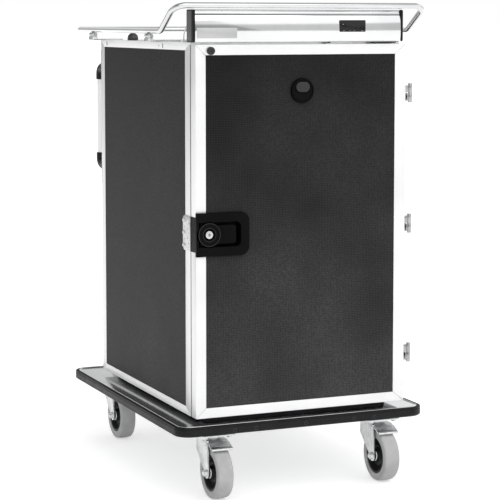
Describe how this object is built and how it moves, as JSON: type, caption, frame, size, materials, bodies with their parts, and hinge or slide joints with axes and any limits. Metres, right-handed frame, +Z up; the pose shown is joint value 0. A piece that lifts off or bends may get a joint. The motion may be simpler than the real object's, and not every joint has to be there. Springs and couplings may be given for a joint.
{
  "type": "refrigerated banquet trolley",
  "caption": "Tall insulated food cabinet on a bumpered base with swivel castors, a lockable hinged door, guard rail, rear push handles and a rear cooling unit.",
  "frame": {"origin": "middle of the trolley's footprint, on the floor", "axes": "+Z up, +X to the right seen from the front, the door faces -Y"},
  "size_m": [0.865, 1.087, 1.501],
  "materials": {
    "stainless": "satin",
    "polished_steel": "polished",
    "zinc_steel": "zinc plated",
    "aluminium_profile": "anodised satin",
    "coil_aluminium": "mill",
    "dark_laminate": "fine grained",
    "black_plastic": "moulded",
    "grey_plastic": "moulded",
    "black_enamel": "enamel",
    "display_plastic": "gloss",
    "bumper_rubber": "matt",
    "grey_tyre": "smooth tread"
  },
  "bodies": {
    "root": {"base_tray": "stainless", "base_frame": "zinc_steel", "bumper_strip": "bumper_rubber", "plinth": "black_plastic", "castor_plates": "zinc_steel", "side_frame_left": "aluminium_profile", "side_frame_right": "aluminium_profile", "cross_rails": "aluminium_profile", "floor_panel": "dark_laminate", "side_panel_left": "dark_laminate", "side_panel_right": "dark_laminate", "back_panel": "dark_laminate", "roof_panel": "stainless", "inner_liner": "stainless", "tray_runners_left": "stainless", "tray_runners_right": "stainless", "air_duct_panel": "stainless", "evaporator_coil": "coil_aluminium", "evaporator_fan_motor": "black_plastic", "hinge_body_leaves": "stainless", "strike_plate": "stainless", "control_housing": "polished_steel", "control_end_caps": "black_plastic", "display_window": "display_plastic", "guard_rail": "polished_steel", "roof_brackets": "stainless", "roof_cap": "black_plastic", "push_handle_grips": "aluminium_profile", "handle_mounts": "black_plastic", "rear_unit_cover": "stainless", "compressor": "black_enamel", "condenser_coil": "coil_aluminium", "mains_inlet": "black_plastic"},
    "door": {"door_frame": "aluminium_profile", "door_panel": "dark_laminate", "door_gasket": "bumper_rubber", "hinge_door_leaves": "stainless", "latch_housing": "black_plastic", "vent_bezel": "black_plastic", "door_buffer": "bumper_rubber"},
    "paddle": {"latch_paddle": "black_plastic"},
    "lock": {"lock_cylinder": "polished_steel"},
    "bolt": {"latch_bolt": "zinc_steel"},
    "vent": {"vent_dial": "grey_plastic"},
    "inner_fan": {"evaporator_fan": "black_plastic"},
    "unit_fan": {"condenser_fan": "black_plastic"},
    "castor_fl": {"castor_fork_fl": "zinc_steel"},
    "wheel_fl": {"castor_hub_fl": "black_plastic", "castor_tyre_fl": "grey_tyre"},
    "castor_fr": {"castor_fork_fr": "zinc_steel"},
    "wheel_fr": {"castor_hub_fr": "black_plastic", "castor_tyre_fr": "grey_tyre"},
    "castor_rl": {"castor_fork_rl": "zinc_steel"},
    "wheel_rl": {"castor_hub_rl": "black_plastic", "castor_tyre_rl": "grey_tyre"},
    "castor_rr": {"castor_fork_rr": "zinc_steel"},
    "wheel_rr": {"castor_hub_rr": "black_plastic", "castor_tyre_rr": "grey_tyre"},
    "pedal_fl": {"brake_pedal_fl": "black_enamel"},
    "pedal_fr": {"brake_pedal_fr": "black_enamel"}
  },
  "joints": [
    {"name": "door_hinge", "type": "hinge", "parent": "root", "child": "door", "pos_m": [0.37, -0.4695, 0.8125], "axis": [0, 0, 1], "range_deg": [0, 265]},
    {"name": "paddle_pull", "type": "hinge", "parent": "door", "child": "paddle", "pos_m": [-0.336, -0.4775, 0.808], "axis": [0, 0, -1], "range_deg": [0, 30], "stiffness_Nm_per_rad": 0.4},
    {"name": "lock_turn", "type": "hinge", "parent": "door", "child": "lock", "pos_m": [-0.3112, -0.4745, 0.808], "axis": [0, -1, 0], "range_deg": [0, 90]},
    {"name": "bolt_throw", "type": "slide", "parent": "door", "child": "bolt", "axis": [-1, 0, 0], "range_m": [0, 0.007]},
    {"name": "vent_turn", "type": "hinge", "parent": "door", "child": "vent", "pos_m": [-0.004, -0.4745, 1.235], "axis": [0, -1, 0], "range_deg": [0, 90]},
    {"name": "inner_fan_spin", "type": "hinge", "parent": "root", "child": "inner_fan", "pos_m": [0, 0.2315, 1.141], "axis": [0, 1, 0], "continuous": true},
    {"name": "unit_fan_spin", "type": "hinge", "parent": "root", "child": "unit_fan", "pos_m": [0.15, 0.4775, 0.512], "axis": [0, 1, 0], "continuous": true},
    {"name": "swivel_fl", "type": "hinge", "parent": "root", "child": "castor_fl", "pos_m": [-0.281, -0.4175, 0.185], "axis": [0, 0, 1], "continuous": true},
    {"name": "spin_fl", "type": "hinge", "parent": "castor_fl", "child": "wheel_fl", "pos_m": [-0.281, -0.4635, 0.08], "axis": [1, 0, 0], "continuous": true},
    {"name": "swivel_fr", "type": "hinge", "parent": "root", "child": "castor_fr", "pos_m": [0.281, -0.4175, 0.185], "axis": [0, 0, 1], "continuous": true},
    {"name": "spin_fr", "type": "hinge", "parent": "castor_fr", "child": "wheel_fr", "pos_m": [0.281, -0.4635, 0.08], "axis": [1, 0, 0], "continuous": true},
    {"name": "swivel_rl", "type": "hinge", "parent": "root", "child": "castor_rl", "pos_m": [-0.281, 0.4595, 0.185], "axis": [0, 0, 1], "continuous": true},
    {"name": "spin_rl", "type": "hinge", "parent": "castor_rl", "child": "wheel_rl", "pos_m": [-0.281, 0.4135, 0.08], "axis": [1, 0, 0], "continuous": true},
    {"name": "swivel_rr", "type": "hinge", "parent": "root", "child": "castor_rr", "pos_m": [0.281, 0.4595, 0.185], "axis": [0, 0, 1], "continuous": true},
    {"name": "spin_rr", "type": "hinge", "parent": "castor_rr", "child": "wheel_rr", "pos_m": [0.281, 0.4135, 0.08], "axis": [1, 0, 0], "continuous": true},
    {"name": "brake_fl", "type": "hinge", "parent": "castor_fl", "child": "pedal_fl", "pos_m": [-0.281, -0.4645, 0.171], "axis": [1, 0, 0], "range_deg": [0, 5]},
    {"name": "brake_fr", "type": "hinge", "parent": "castor_fr", "child": "pedal_fr", "pos_m": [0.281, -0.4645, 0.171], "axis": [1, 0, 0], "range_deg": [0, 5]}
  ],
  "couplings": [
    {"joint": "lock_turn", "follows": "bolt_throw", "rad_per_m": 224.39}
  ]
}
